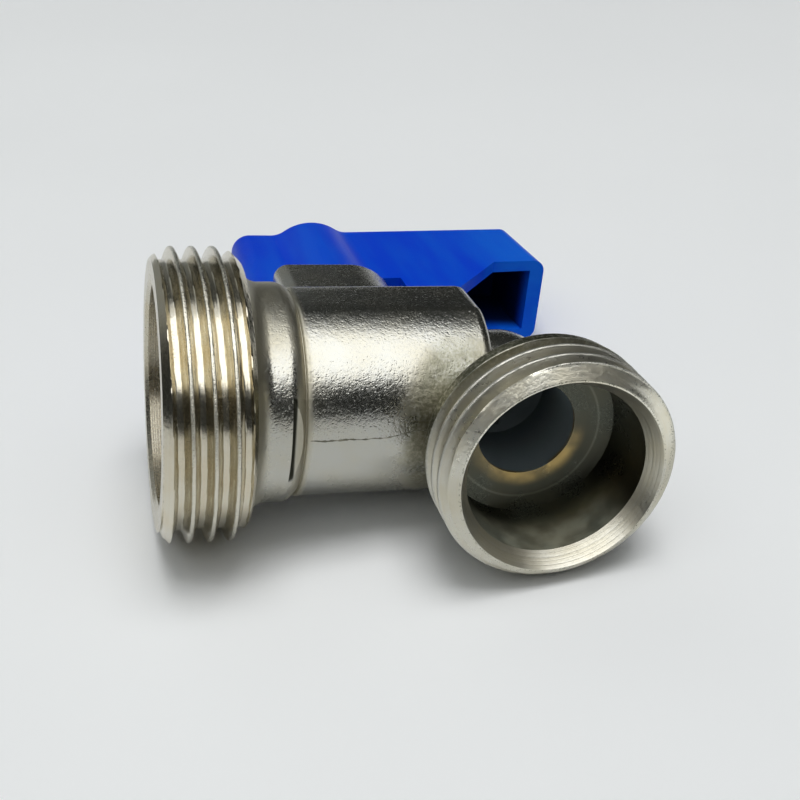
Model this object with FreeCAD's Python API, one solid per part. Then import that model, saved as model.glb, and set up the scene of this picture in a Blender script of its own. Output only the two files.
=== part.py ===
import FreeCAD, Part
import math
import os

# Angled mini ball valve for a washing machine, in millimetres.
# X runs from the hose outlet into the valve, Y along the stem towards the lever, Z up.
# The origin is the centre of the outlet's sealing face.

# How far a cutter or a joined piece passes the face that it meets, and how near an edge is looked for
pass_over = 1.0
edge_search = 0.5

# Hose outlet, G 3/4 male thread (the thread itself is a plain cylinder at its outer size)
outlet_thread_radius = 13.22
outlet_thread_depth = 1.16
outlet_lead_chamfer = 1.05
outlet_thread_end_x = 6.5
outlet_back_chamfer = 1.15
outlet_mouth_radius = 10.0
outlet_mouth_depth = 7.4
outlet_mouth_chamfer = 0.35

# Neck between the outlet and the barrel
neck_radius = 10.05
neck_start_x = 9.3
neck_end_x = 10.7
neck_fall_run = 0.75
neck_fall_drop = 0.2
neck_valley_radius = 9.27
neck_valley_land = 0.05

# Facet where the forging's flash was trimmed, deepest at the step next to the outlet
trim_facet_start_x = 10.85
trim_facet_deep_y = -9.3
trim_facet_shallow_y = -9.6
trim_facet_half = 6.0

# Barrel round the ball, with forged flats above and below
barrel_radius = 9.55
barrel_start_x = 12.15
barrel_end_x = 29.2
barrel_start_round = 0.28
barrel_end_round = 1.1
flat_height = 9.22

# Stem axis and ball
stem_x = 20.4
ball_radius = 7.0
flow_radius = 4.0
ball_slot_width = 3.0
ball_slot_floor = 5.0
ball_edge_round = 0.4

# Cavity and seats
cavity_radius = 7.4
cavity_start_x = 13.0
cavity_end_x = 27.2
seat_bore_radius = 4.5
seat_stem_gap = 0.35
seat_gap = 0.05
bore_fit = 0.05

# Seat retainer, screwed in from the hose end
retainer_radius = 8.0
retainer_start_x = 8.4
retainer_nose_length = 0.6
retainer_chamfer = 0.4
retainer_hex_across = 9.4
retainer_hex_depth = 2.6

# Stem boss: square with one rounded corner, which the lever's stop wall passes
boss_half = 6.1
boss_lever_side = 6.25
boss_lever_round = 5.55
boss_outlet_side = 7.05
boss_end_y = 17.2
boss_corner_round = 1.5
boss_top_round = 0.45

# Stem
stem_radius = 3.0
stem_running_gap = 0.04
shoulder_radius = 4.2
shoulder_start_y = 7.1
shoulder_end_y = 8.6
washer_thickness = 0.6
tang_bottom_y = 5.15
tang_side_gap = 0.05
drive_start_y = 17.35
drive_end_y = 26.2
drive_radius = 2.6
drive_half_flat = 2.0
drive_chamfer = 0.3
ring_heights = {"lower_stem_ring": 11.4, "upper_stem_ring": 14.2}
ring_groove_width = 1.1
ring_groove_radius = 2.15
ring_section_radius = 0.44

# Inlet branch, G 1/2 male thread with a pipe socket
inlet_x = 32.37
inlet_thread_radius = 10.48
inlet_rim_y = -17.95
inlet_rim_radius = 9.0
inlet_rim_land = 0.12
inlet_lead_y = -17.25
inlet_thread_end_y = -12.35
inlet_thread_runout = 0.3
inlet_collar_radius = 10.2
inlet_collar_end_y = -10.9
inlet_collar_round = 0.35
socket_radius = 8.04
socket_cone_y = -16.37
socket_floor_y = -9.6
socket_step_radius = 6.4
socket_step_y = -9.15
supply_radius = 4.6
supply_mouth_y = -8.8
supply_end_y = -1.0
elbow_radius = 5.4
elbow_cone_start = 0.45
elbow_cone_share = 0.9
flow_end_x = 33.0
drill_point_slope = 0.6

# Lever
lever_top_y = 33.25
lever_hub_radius = 5.3
lever_hub_bottom_y = 17.5
lever_tail_x = 11.26
lever_tail_half = 3.72
lever_tail_round = 2.0
lever_arm_root_half = 4.05
lever_arm_tip_half = 4.72
lever_arm_tip_x = 44.75
lever_arm_tip_round = 1.3
lever_tip_draft = 0.03
lever_side_draft = 0.008
lever_blend = 2.6
lever_wall = 1.2
lever_tip_wall = 1.6
lever_roof = 1.6
lever_stop_gap = 0.45
lever_skirt_y = 13.6
lever_slant_start_x = 32.2
lever_slant_end_x = 39.0
lever_tip_bottom_y = 21.56
lever_underside_reach = 5.0
lever_edge_round = 0.5
lever_socket_gap = 0.05
lever_floor = 1.2
lever_core_radius = 4.1

# Lever screw
screw_radius = 1.75
screw_length = 7.0
screw_tip_chamfer = 0.35
screw_head_radius = 3.0
screw_head_height = 2.0
screw_head_round = 0.7
screw_slot_width = 0.9
screw_slot_length = 3.2
screw_slot_depth = 1.0
screw_hole_gap = 0.1
screw_thread_gap = 0.03
screw_well_radius = 3.6
tapped_hole_extra = 1.0

X_AXIS = FreeCAD.Vector(1, 0, 0)
Y_AXIS = FreeCAD.Vector(0, 1, 0)
Z_AXIS = FreeCAD.Vector(0, 0, 1)
BALL_CENTRE = FreeCAD.Vector(stem_x, 0, 0)
INLET_CENTRE = FreeCAD.Vector(inlet_x, 0, 0)


def outline(points):
    """Closed wire through points; a point given with a middle point is reached by an arc."""
    edges = []
    last = points[0][-1]
    for point in points[1:] + points[:1]:
        end = point[-1]
        if end.distanceToPoint(last) < 1e-9:
            continue
        if len(point) == 2:
            edges.append(Part.Arc(last, point[0], end).toShape())
        else:
            edges.append(Part.makeLine(last, end))
        last = end
    return Part.Wire(edges)


def turned_on_x(points):
    """Solid turned about the X axis from (x, radius) points."""
    spots = [[FreeCAD.Vector(x, r, 0) for x, r in point] for point in points]
    return Part.Face(outline(spots)).revolve(FreeCAD.Vector(), X_AXIS, 360)


def turned_on_y(centre, points):
    """Solid turned about the line along Y through a centre, from (y, radius) points."""
    spots = [[FreeCAD.Vector(centre.x + r, y, 0) for y, r in point] for point in points]
    return Part.Face(outline(spots)).revolve(centre, Y_AXIS, 360)


def corners(pairs):
    """Plain corner points for an outline without arcs."""
    return [[pair] for pair in pairs]


def rod_on_x(radius, start, end):
    return Part.makeCylinder(radius, end - start, FreeCAD.Vector(start, 0, 0), X_AXIS)


def rod_on_y(centre, radius, start, end):
    return Part.makeCylinder(radius, end - start, centre + Y_AXIS * start, Y_AXIS)


def block(x0, x1, y0, y1, z0, z1):
    return Part.makeBox(x1 - x0, y1 - y0, z1 - z0, FreeCAD.Vector(x0, y0, z0))


def rounded(shape, radius, wanted):
    """Round the edges of a shape that a test picks."""
    return shape.makeFillet(radius, [edge for edge in shape.Edges if wanted(edge)])


def clean(shape):
    """One solid without split faces."""
    return shape.removeSplitter().Solids[0]


def runs_along(edge, axis):
    """True for a straight edge along an axis."""
    if not isinstance(edge.Curve, Part.Line):
        return False
    return abs(edge.tangentAt(edge.FirstParameter).dot(axis)) > 0.999


def lies_at_y(edge, y):
    """True for an edge that lies in the plane of one Y value."""
    box = edge.BoundBox
    return abs(box.YMin - y) < 1e-6 and abs(box.YMax - y) < 1e-6


def outlet_and_neck():
    root = outlet_thread_radius - outlet_thread_depth
    back_x = outlet_thread_end_x + outlet_back_chamfer
    hollow = neck_start_x - back_x
    bend = hollow * (1 - math.sqrt(0.5))
    drop = root - neck_radius
    return turned_on_x([
        [(0, 0)],
        [(0, outlet_thread_radius - outlet_lead_chamfer)],
        [(outlet_lead_chamfer, outlet_thread_radius)],
        [(outlet_thread_end_x, outlet_thread_radius)],
        [(back_x, root)],
        [(back_x + bend, neck_radius + drop * (1 - math.sqrt(0.5))), (neck_start_x, neck_radius)],
        [(neck_end_x, neck_radius)],
        [(neck_end_x + neck_fall_run, neck_radius - neck_fall_drop),
         (barrel_start_x - neck_valley_land, neck_valley_radius)],
        [(barrel_start_x + pass_over, neck_valley_radius)],
        [(barrel_start_x + pass_over, 0)],
    ])


def barrel():
    rod = rod_on_x(barrel_radius, barrel_start_x, barrel_end_x)
    reach = barrel_radius + pass_over
    flats = block(barrel_start_x, barrel_end_x, -reach, reach, -flat_height, flat_height)
    rod = rod.common(flats)
    rod = rounded(rod, barrel_start_round, lambda e: e.BoundBox.XMax < barrel_start_x + 1e-6)
    return rounded(rod, barrel_end_round, lambda e: e.BoundBox.XMin > barrel_end_x - 1e-6)


def boss():
    low = FreeCAD.Vector(stem_x - boss_outlet_side, 0, -boss_half)
    side = FreeCAD.Vector(stem_x + boss_lever_side, 0, -boss_half)
    middle_x = stem_x + boss_lever_side - boss_lever_round
    middle_z = boss_half - boss_lever_round
    diagonal = boss_lever_round * math.sqrt(0.5)
    round_start = FreeCAD.Vector(stem_x + boss_lever_side, 0, middle_z)
    round_middle = FreeCAD.Vector(middle_x + diagonal, 0, middle_z + diagonal)
    round_end = FreeCAD.Vector(middle_x, 0, boss_half)
    high = FreeCAD.Vector(stem_x - boss_outlet_side, 0, boss_half)
    wire = outline([[low], [side], [round_start], [round_middle, round_end], [high]])
    post = Part.Face(wire).extrude(Y_AXIS * boss_end_y)
    post = rounded(post, boss_corner_round,
                   lambda e: runs_along(e, Y_AXIS) and abs(e.BoundBox.ZMin) > boss_half - 1e-6
                   and abs(e.BoundBox.XMin - stem_x) > boss_lever_side - edge_search)
    return rounded(post, boss_top_round, lambda e: lies_at_y(e, boss_end_y))


def inlet_branch():
    wall = turned_on_y(INLET_CENTRE, corners([
        (inlet_rim_y, 0),
        (inlet_rim_y, inlet_rim_radius + inlet_rim_land),
        (inlet_lead_y, inlet_thread_radius),
        (inlet_thread_end_y, inlet_thread_radius),
        (inlet_thread_end_y + inlet_thread_runout, inlet_collar_radius),
        (inlet_collar_end_y, inlet_collar_radius),
        (-elbow_radius * elbow_cone_start, elbow_radius * elbow_cone_share),
        (0, elbow_radius * elbow_cone_share),
        (0, 0),
    ]))
    wall = rounded(wall, inlet_collar_round,
                   lambda e: lies_at_y(e, inlet_collar_end_y) and e.Length > 2 * inlet_collar_radius)
    elbow = Part.makeSphere(elbow_radius, INLET_CENTRE)
    link = rod_on_x(elbow_radius, barrel_end_x - pass_over, inlet_x)
    return wall.fuse([elbow, link])


def body_hollow():
    """Everything that is bored out of the forging."""
    mouth = turned_on_x(corners([
        (-pass_over, 0),
        (-pass_over, outlet_mouth_radius + outlet_mouth_chamfer + pass_over),
        (outlet_mouth_chamfer, outlet_mouth_radius),
        (outlet_mouth_depth, outlet_mouth_radius),
        (outlet_mouth_depth, 0),
    ]))
    thread = rod_on_x(retainer_radius + bore_fit, outlet_mouth_depth - pass_over, cavity_start_x)
    cavity = rod_on_x(cavity_radius, cavity_start_x - pass_over, cavity_end_x)
    flow = turned_on_x(corners([
        (cavity_end_x - pass_over, 0),
        (cavity_end_x - pass_over, flow_radius),
        (flow_end_x, flow_radius),
        (flow_end_x + flow_radius * drill_point_slope, 0),
    ]))
    slope = (inlet_rim_radius - socket_radius) / (socket_cone_y - inlet_rim_y)
    socket = turned_on_y(INLET_CENTRE, corners([
        (inlet_rim_y - pass_over, 0),
        (inlet_rim_y - pass_over, inlet_rim_radius + slope * pass_over),
        (socket_cone_y, socket_radius),
        (socket_floor_y, socket_radius),
        (socket_step_y, socket_step_radius),
        (supply_mouth_y, supply_radius),
        (supply_end_y, supply_radius),
        (supply_end_y + supply_radius * drill_point_slope, 0),
    ]))
    shoulder_top = shoulder_end_y + washer_thickness
    counterbore = rod_on_y(BALL_CENTRE, shoulder_radius + bore_fit, 0, shoulder_top)
    stem_bore = rod_on_y(BALL_CENTRE, stem_radius + stem_running_gap, 0, boss_end_y + pass_over)
    return [mouth, thread, cavity, flow, socket, counterbore, stem_bore]


def trimmed_flash():
    """Wedge of flash that the trimming tool takes off the neck."""
    end_x = barrel_start_x - neck_valley_land
    outer_y = -neck_radius - pass_over
    spots = [(trim_facet_start_x, outer_y), (trim_facet_start_x, trim_facet_deep_y),
             (end_x, trim_facet_shallow_y), (end_x, outer_y)]
    face = Part.Face(outline([[FreeCAD.Vector(x, y, -trim_facet_half)] for x, y in spots]))
    return face.extrude(Z_AXIS * 2 * trim_facet_half)


def valve_body():
    outside = outlet_and_neck().fuse([barrel(), boss(), inlet_branch()])
    return clean(outside.cut([trimmed_flash()] + body_hollow()))


def ball():
    sphere = Part.makeSphere(ball_radius, BALL_CENTRE)
    bore = rod_on_x(flow_radius, stem_x - ball_radius, stem_x + ball_radius)
    reach = ball_radius + pass_over
    slot = block(stem_x - ball_slot_width / 2, stem_x + ball_slot_width / 2,
                 ball_slot_floor, reach, -reach, reach)
    solid = clean(sphere.cut(bore))
    solid = rounded(solid, ball_edge_round, lambda e: abs(e.Length - 2 * math.pi * flow_radius) < 1e-3)
    return clean(solid.cut(slot))


def seat(side):
    """Seat ring on one side of the ball: -1 towards the outlet, 1 towards the inlet."""
    near = stem_x + side * (shoulder_radius + seat_stem_gap)
    far = cavity_end_x if side > 0 else cavity_start_x + retainer_nose_length
    ring = rod_on_x(cavity_radius - bore_fit, min(near, far), max(near, far))
    hole = rod_on_x(seat_bore_radius, min(near, far), max(near, far))
    cup = Part.makeSphere(ball_radius + seat_gap, BALL_CENTRE)
    return clean(ring.cut([hole, cup]))


def seat_retainer():
    nose_x = cavity_start_x + retainer_nose_length
    ring = turned_on_x(corners([
        (retainer_start_x, seat_bore_radius),
        (retainer_start_x, retainer_radius - retainer_chamfer),
        (retainer_start_x + retainer_chamfer, retainer_radius),
        (cavity_start_x - bore_fit, retainer_radius),
        (cavity_start_x - bore_fit, cavity_radius - bore_fit),
        (nose_x, cavity_radius - bore_fit),
        (nose_x, seat_bore_radius),
    ]))
    corner = retainer_hex_across / math.sqrt(3)
    spots = []
    for step in range(6):
        turn = math.radians(60 * step)
        spots.append([FreeCAD.Vector(retainer_start_x, corner * math.sin(turn), corner * math.cos(turn))])
    hexagon = Part.Face(outline(spots)).extrude(X_AXIS * retainer_hex_depth)
    return clean(ring.cut(hexagon))


def stem():
    spots = [(shoulder_start_y, 0), (shoulder_start_y, shoulder_radius),
             (shoulder_end_y, shoulder_radius), (shoulder_end_y, stem_radius)]
    for height in ring_heights.values():
        low = height - ring_groove_width / 2
        high = height + ring_groove_width / 2
        spots += [(low, stem_radius), (low, ring_groove_radius),
                  (high, ring_groove_radius), (high, stem_radius)]
    spots += [(drive_start_y, stem_radius), (drive_start_y, drive_radius),
              (drive_end_y - drive_chamfer, drive_radius),
              (drive_end_y, drive_radius - drive_chamfer), (drive_end_y, 0)]
    spindle = turned_on_y(BALL_CENTRE, corners(spots))
    reach = drive_radius + pass_over
    for side in (-1, 1):
        near = stem_x + side * drive_half_flat
        far = stem_x + side * reach
        flat = block(min(near, far), max(near, far), drive_start_y, drive_end_y, -reach, reach)
        spindle = spindle.cut(flat)
    half = ball_slot_width / 2 - tang_side_gap
    tang = rod_on_y(BALL_CENTRE, shoulder_radius, tang_bottom_y, shoulder_start_y)
    tang = tang.common(block(stem_x - half, stem_x + half, tang_bottom_y, shoulder_start_y,
                             -shoulder_radius, shoulder_radius))
    depth = screw_length - lever_floor + tapped_hole_extra
    tapped = rod_on_y(BALL_CENTRE, screw_radius + screw_thread_gap, drive_end_y - depth, drive_end_y)
    return clean(spindle.fuse(tang).cut(tapped))


def stem_ring(height):
    middle = ring_groove_radius + ring_section_radius
    return Part.makeTorus(middle, ring_section_radius, BALL_CENTRE + Y_AXIS * height, Y_AXIS)


def thrust_washer():
    top = shoulder_end_y + washer_thickness
    ring = rod_on_y(BALL_CENTRE, shoulder_radius, shoulder_end_y, top)
    return ring.cut(rod_on_y(BALL_CENTRE, stem_radius + stem_running_gap, shoulder_end_y, top))


def tapered_post(spots, top, bottom):
    """Post between two heights; each outline corner moves outwards by its own sign at the bottom."""
    grow_x = (top - bottom) * lever_tip_draft
    grow_z = (top - bottom) * lever_side_draft
    upper = outline([[FreeCAD.Vector(x, top, z)] for x, z, sx, sz in spots])
    lower = outline([[FreeCAD.Vector(x + sx * grow_x, bottom, z + sz * grow_z)] for x, z, sx, sz in spots])
    return Part.makeLoft([upper, lower], True, True)


def lever_outside():
    depth = lever_top_y - lever_skirt_y
    hub = Part.makeCone(lever_hub_radius + depth * lever_side_draft, lever_hub_radius, depth,
                        BALL_CENTRE + Y_AXIS * lever_skirt_y, Y_AXIS)
    arm = tapered_post([
        (stem_x, -lever_arm_root_half, 0, -1),
        (lever_arm_tip_x, -lever_arm_tip_half, 1, -1),
        (lever_arm_tip_x, lever_arm_tip_half, 1, 1),
        (stem_x, lever_arm_root_half, 0, 1),
    ], lever_top_y, lever_skirt_y)
    tip_edge = lever_arm_tip_x - edge_search
    arm = rounded(arm, lever_arm_tip_round,
                  lambda e: e.BoundBox.XMin > tip_edge and e.BoundBox.YLength > depth / 2)
    tail = tapered_post([
        (lever_tail_x, -lever_tail_half, -1, -1),
        (stem_x, -lever_tail_half, 0, -1),
        (stem_x, lever_tail_half, 0, 1),
        (lever_tail_x, lever_tail_half, -1, 1),
    ], lever_top_y, lever_skirt_y)
    tail_edge = lever_tail_x + edge_search
    tail = rounded(tail, lever_tail_round,
                   lambda e: e.BoundBox.XMax < tail_edge and e.BoundBox.YLength > depth / 2)
    solid = clean(hub.fuse([arm, tail]))
    solid = rounded(solid, lever_blend,
                    lambda e: e.BoundBox.YLength > depth / 2
                    and abs(e.CenterOfMass.x - stem_x) < lever_hub_radius
                    and abs(e.CenterOfMass.z) > lever_tail_half - edge_search)
    return rounded(solid, lever_edge_round, lambda e: lies_at_y(e, lever_top_y))


def lever_underside():
    """Side-view block of all that lies below the lever's lower edge."""
    stop_x = stem_x + boss_lever_side + lever_stop_gap
    low = lever_skirt_y - pass_over
    tail_side = lever_tail_x - lever_underside_reach
    tip_side = lever_arm_tip_x + lever_underside_reach
    spots = [
        (tail_side, low), (stop_x, low), (stop_x, lever_skirt_y),
        (lever_slant_start_x, lever_skirt_y), (lever_slant_end_x, lever_tip_bottom_y),
        (tip_side, lever_tip_bottom_y), (tip_side, low - pass_over),
        (tail_side, low - pass_over),
    ]
    reach = lever_hub_radius + lever_underside_reach
    face = Part.Face(outline([[FreeCAD.Vector(x, y, -reach)] for x, y in spots]))
    below = face.extrude(Z_AXIS * 2 * reach)
    over_boss = block(tail_side, stop_x, low, lever_hub_bottom_y, -reach, reach)
    return [below, over_boss]


def lever_hollow():
    """Hollows of the arm and the tail, open below."""
    bottom = lever_skirt_y - pass_over
    top = lever_top_y - lever_roof
    root = lever_arm_root_half - lever_wall
    tip = lever_arm_tip_half - lever_wall
    tip_x = lever_arm_tip_x - lever_tip_wall
    start = stem_x + boss_lever_side + lever_stop_gap + lever_wall
    arm = tapered_post([
        (start, -root, 0, -1), (tip_x, -tip, 1, -1), (tip_x, tip, 1, 1), (start, root, 0, 1),
    ], top, bottom)
    half = lever_tail_half - lever_wall
    tail = tapered_post([
        (lever_tail_x + lever_wall, -half, -1, -1), (stem_x - lever_core_radius, -half, 0, -1),
        (stem_x - lever_core_radius, half, 0, 1), (lever_tail_x + lever_wall, half, -1, 1),
    ], top, bottom)
    return [arm, tail]


def handle():
    shell = lever_outside().cut(lever_underside() + lever_hollow())
    well_floor = drive_end_y + lever_floor
    well = rod_on_y(BALL_CENTRE, screw_well_radius, well_floor, lever_top_y + pass_over)
    hole_radius = screw_radius + screw_hole_gap
    hole = rod_on_y(BALL_CENTRE, hole_radius, drive_end_y - pass_over, well_floor + pass_over)
    socket = rod_on_y(BALL_CENTRE, drive_radius + lever_socket_gap, lever_skirt_y, drive_end_y)
    half = drive_half_flat + lever_socket_gap
    reach = drive_radius + pass_over
    socket = socket.common(block(stem_x - half, stem_x + half, lever_skirt_y, drive_end_y, -reach, reach))
    return clean(shell.cut([well, hole, socket]))


def handle_screw():
    seat_y = drive_end_y + lever_floor
    tip_y = seat_y - screw_length
    head = rod_on_y(BALL_CENTRE, screw_head_radius, seat_y, seat_y + screw_head_height)
    head = rounded(head, screw_head_round, lambda e: lies_at_y(e, seat_y + screw_head_height))
    shank = rod_on_y(BALL_CENTRE, screw_radius, tip_y, seat_y)
    shank = shank.makeChamfer(screw_tip_chamfer, [e for e in shank.Edges if lies_at_y(e, tip_y)])
    top = seat_y + screw_head_height
    thin = screw_slot_width / 2
    long = screw_slot_length / 2
    low = top - screw_slot_depth
    slots = [
        block(stem_x - long, stem_x + long, low, top + pass_over, -thin, thin),
        block(stem_x - thin, stem_x + thin, low, top + pass_over, -long, long),
    ]
    return clean(head.fuse(shank).cut(slots))


pieces = {
    "valve_body": valve_body(),
    "ball": ball(),
    "inlet_seat": seat(1),
    "outlet_seat": seat(-1),
    "seat_retainer": seat_retainer(),
    "stem": stem(),
    "thrust_washer": thrust_washer(),
    "handle": handle(),
    "handle_screw": handle_screw(),
}
for name, height in ring_heights.items():
    pieces[name] = stem_ring(height)

os.makedirs("parts", exist_ok=True)
for name, shape in pieces.items():
    if not shape.isValid():
        raise ValueError(name + " is not a valid solid")
    shape.exportStep("parts/" + name + ".step")
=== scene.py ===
"""Looks of an angled mini ball valve: cut threads, plated and moulded finishes, and a stage."""

import math

import bmesh
import bpy
import numpy as np
from mathutils import Matrix, Vector


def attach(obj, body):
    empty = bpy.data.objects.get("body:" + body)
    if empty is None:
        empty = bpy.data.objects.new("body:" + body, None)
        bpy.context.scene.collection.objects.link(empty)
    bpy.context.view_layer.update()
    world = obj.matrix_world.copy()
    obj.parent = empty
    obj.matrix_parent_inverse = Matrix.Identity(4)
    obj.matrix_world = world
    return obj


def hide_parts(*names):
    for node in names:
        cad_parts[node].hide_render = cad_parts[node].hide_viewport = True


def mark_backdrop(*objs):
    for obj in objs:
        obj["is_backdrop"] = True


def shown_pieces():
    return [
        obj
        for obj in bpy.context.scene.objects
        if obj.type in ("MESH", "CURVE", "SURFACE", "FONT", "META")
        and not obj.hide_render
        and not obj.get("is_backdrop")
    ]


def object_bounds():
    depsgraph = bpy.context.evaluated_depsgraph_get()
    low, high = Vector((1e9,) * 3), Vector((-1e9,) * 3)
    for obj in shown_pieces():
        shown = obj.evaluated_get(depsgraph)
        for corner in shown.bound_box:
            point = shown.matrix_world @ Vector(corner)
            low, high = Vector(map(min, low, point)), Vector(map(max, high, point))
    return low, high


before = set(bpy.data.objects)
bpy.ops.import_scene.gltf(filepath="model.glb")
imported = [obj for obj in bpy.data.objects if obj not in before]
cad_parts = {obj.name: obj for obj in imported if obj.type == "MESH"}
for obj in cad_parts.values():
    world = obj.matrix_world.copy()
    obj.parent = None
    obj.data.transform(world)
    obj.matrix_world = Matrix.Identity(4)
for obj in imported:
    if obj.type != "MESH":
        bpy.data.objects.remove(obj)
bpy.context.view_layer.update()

bl_info = {
    "name": "Washing machine valve",
    "version": (1, 0, 0),
    "blender": (4, 5, 0),
    "location": "3D View > Sidebar > Valve",
    "description": "Dresses an angled mini ball valve with threads, plating and a moulded lever",
    "category": "Object",
}

MM = 0.001
SEED = 7
WELD = 0.0004 * MM
HARD_EDGE = math.radians(32.0)

# Outlet ring, along +X from its sealing face, as stations of place and radius in millimetres.
OUTLET_ENVELOPE = ((0.0, 12.17), (1.05, 13.22), (6.5, 13.22), (7.65, 12.06))
OUTLET_THREAD_FROM = 0.0
OUTLET_ROWS = 100
OUTLET_COLUMNS = 560

# Pipe inlet, along -Y from the valve's axis, round the axis at INLET_X.
INLET_X = 32.37
INLET_ENVELOPE = ((12.05, 10.2), (12.35, 10.48), (17.25, 10.48), (17.95, 9.12))
INLET_THREAD_FROM = 12.35
INLET_ROWS = 80
INLET_COLUMNS = 320

# Threaded bands: gap left at their ends for the bridging faces, the run over which a thread
# reaches its depth, and the slack in finding the plain faces that a thread takes the place of.
BAND_MARGIN = 0.03
THREAD_RUN_IN = 0.12
RADIUS_SLACK = 0.02
END_SLACK = 0.005

# Torn crests: the noise above which a crest is torn, and how fast the tears end down the flank.
TORN_FROM = 0.35
TORN_FALL = 2.5

# Hollow under the lever's arm, halfway through its walls: half its height at the stem and how
# that grows along X, its ends along X, its roof, and the slant of its mouth as places along X
# and heights along Y.
HOLLOW_HALF = 3.5
HOLLOW_SPLAY = 0.0275
HOLLOW_ENDS = (27.5, 44.1)
HOLLOW_ROOF = 32.4
HOLLOW_SLANT = (32.2, 39.0, 13.6, 21.56)

STEM_X = 20.4
BARREL_RADIUS = 9.55

# Where the body's finishes end, in millimetres: along the axis and from it.
OUTLET_END = 7.7
SOCKET_SPAN = (8.82, 16.4)
SOCKET_RADIUS = 8.1
INLET_COLLAR = 10.95
INLET_RADIUS = 10.9
SUPPLY_END = -1.8
SUPPLY_RADIUS = 5.0
FLOW_END = 35.5
FLOW_RADIUS = 4.3
CAVITY_END = 27.3
CAVITY_RADIUS = 8.6
STEM_BORE_FROM = 6.0
STEM_BORE_RADIUS = 4.5

# How far a face may look away from the inlet's axis and still count as its inside.
INWARD_LOOK = 0.3

# Order of the body's finishes.
BLASTED, TURNED, SATIN, SOCKET, BORED, FLASH = range(6)

# Ridge where the forging dies met: its ends and step along X, how it wanders up the barrel (by
# table, and by short and long waves), its depth in the wall, the taper at its ends, its half
# width with the change in it, its share of the full height (mean, change, least, most) and the
# width of its top as a share of its foot.
PARTING_SPAN = (12.5, 24.6)
PARTING_STEP = 0.07
PARTING_PLACES = (12.5, 19.2, 20.2, 21.6, 22.6, 23.4, 24.6)
PARTING_RISES = (-0.05, 0.0, 0.2, 0.6, 0.58, 0.3, 0.1)
PARTING_WAVES = (0.05, 0.06)
PARTING_SUNK = 0.12
PARTING_TAPER = 0.8
PARTING_HALF = (0.07, 0.03)
PARTING_SHARE = (0.55, 0.75, 0.1, 1.4)
PARTING_TOP = 0.3

# Painted shade with dirty mottling in the crease at the inlet's foot; on the turned faces, painted
# shade with grimy patches near the inlet's collar and grimy nicks; and painted shade in the trimmed
# facet's corner.
CREASE_SHADE_AND_DIRT = (0.16, 0.16, 0.11)
SHADE_AND_GRIME = (0.12, 0.12, 0.075)
FACET_CORNER_SHADE = (0.03, 0.03, 0.022)

# Clean and worn colours of the small pieces, with the parting line's dark pair as painted shade
# along its crease, and painted shade deep in the lever's cavity.
FLASH_SHADE_COLOURS = ((0.10, 0.10, 0.08), (0.24, 0.23, 0.19))
ZINC_COLOURS = ((0.66, 0.67, 0.68), (0.52, 0.53, 0.55))
CHROME_COLOURS = ((0.80, 0.80, 0.82), (0.70, 0.70, 0.73))
PTFE_COLOURS = ((0.84, 0.84, 0.81), (0.76, 0.76, 0.72))
RUBBER_COLOURS = ((0.018, 0.018, 0.019), (0.032, 0.032, 0.033))
WORN_BRASS = (0.48, 0.33, 0.14)
HOLLOW_SHADE_BLUE = (0.004, 0.012, 0.05)

# Camera: its place in millimetres, its right, up and backward directions, lens and sensor in
# millimetres, and clipping in metres.
CAMERA_PLACE = (-6.803, -95.578, 47.736)
CAMERA_RIGHT = (0.96310, -0.25266, 0.09270)
CAMERA_UP = (0.03155, 0.44807, 0.89344)
CAMERA_BACK = (-0.26727, -0.85755, 0.43951)
CAMERA_LENS = 53.03
CAMERA_SENSOR = 36.0
CAMERA_CLIP = (0.002, 20.0)

# The floor touches the outlet ring, the inlet's thread and the lever's end.
FLOOR_UP = (-0.1463, -0.0927, 0.9849)

# Sides of the round floor and of the round wall of cards.
ROUND_SEGMENTS = 96

# Lamps: width and depth, lean from straight above, and distance, in metres.
SOFTBOX_SIZE = (3.3, 1.14)
SOFTBOX_LEAN = (0.05, -0.43, 0.0)
SOFTBOX_DISTANCE = 0.95
SHEEN_DISTANCE = 0.96
KEY_SIZE = (0.6, 0.6)
KEY_LEAN = (0.08, -0.08, 0.0)
KEY_DISTANCE = 1.2

# Cards that the metal reflects, and the surroundings as they show and as they light dull surfaces.
CARD_DARK = (0.05, 0.052, 0.05)
CARD_PALE = (0.42, 0.43, 0.42)
CARD_REACH = 340.0
CARD_FOOT = 0.002
SKY_SHOWN = (0.95, 0.965, 0.97, 1.0)
SKY_COOL = (0.74, 0.98, 1.0, 1.0)
SHOWN_STRENGTH = 0.98


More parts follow.
